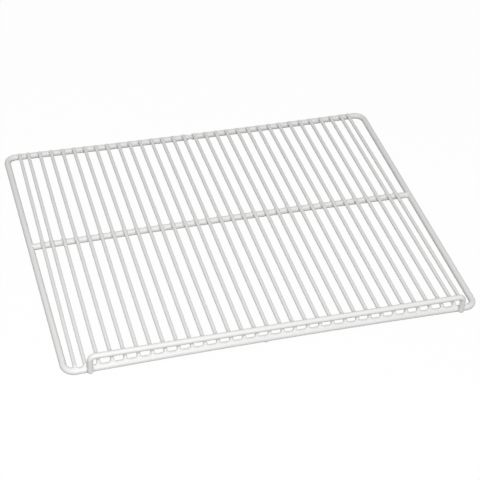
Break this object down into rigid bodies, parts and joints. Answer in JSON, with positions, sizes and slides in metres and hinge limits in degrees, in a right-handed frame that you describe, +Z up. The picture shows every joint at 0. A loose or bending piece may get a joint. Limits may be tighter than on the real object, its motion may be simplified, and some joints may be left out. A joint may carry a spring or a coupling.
{
  "type": "wire refrigerator shelf",
  "caption": "White coated wire refrigerator shelf: a rounded wire frame, a deck of parallel wires over a middle support bar, and a low raised lip along the front.",
  "frame": {"origin": "under the middle of the whole shelf, on the surface it lies on", "axes": "+X to the right along the front bar, +Y to the back, +Z up"},
  "size_m": [0.6402, 0.5346, 0.0404],
  "materials": {
    "white_coating": "thick smooth white coating over steel wire, semi-gloss"
  },
  "bodies": {
    "root": {"outer_frame": "white_coating", "mid_support_bar": "white_coating", "front_lip": "white_coating", "deck_wire_01": "white_coating", "deck_wire_02": "white_coating", "deck_wire_03": "white_coating", "deck_wire_04": "white_coating", "deck_wire_05": "white_coating", "deck_wire_06": "white_coating", "deck_wire_07": "white_coating", "deck_wire_08": "white_coating", "deck_wire_09": "white_coating", "deck_wire_10": "white_coating", "deck_wire_11": "white_coating", "deck_wire_12": "white_coating", "deck_wire_13": "white_coating", "deck_wire_14": "white_coating", "deck_wire_15": "white_coating", "deck_wire_16": "white_coating", "deck_wire_17": "white_coating", "deck_wire_18": "white_coating", "deck_wire_19": "white_coating", "deck_wire_20": "white_coating", "deck_wire_21": "white_coating", "deck_wire_22": "white_coating", "deck_wire_23": "white_coating", "deck_wire_24": "white_coating", "deck_wire_25": "white_coating", "deck_wire_26": "white_coating", "deck_wire_27": "white_coating", "deck_wire_28": "white_coating", "deck_wire_29": "white_coating", "deck_wire_30": "white_coating", "deck_wire_31": "white_coating", "deck_wire_32": "white_coating"}
  },
  "joints": []
}
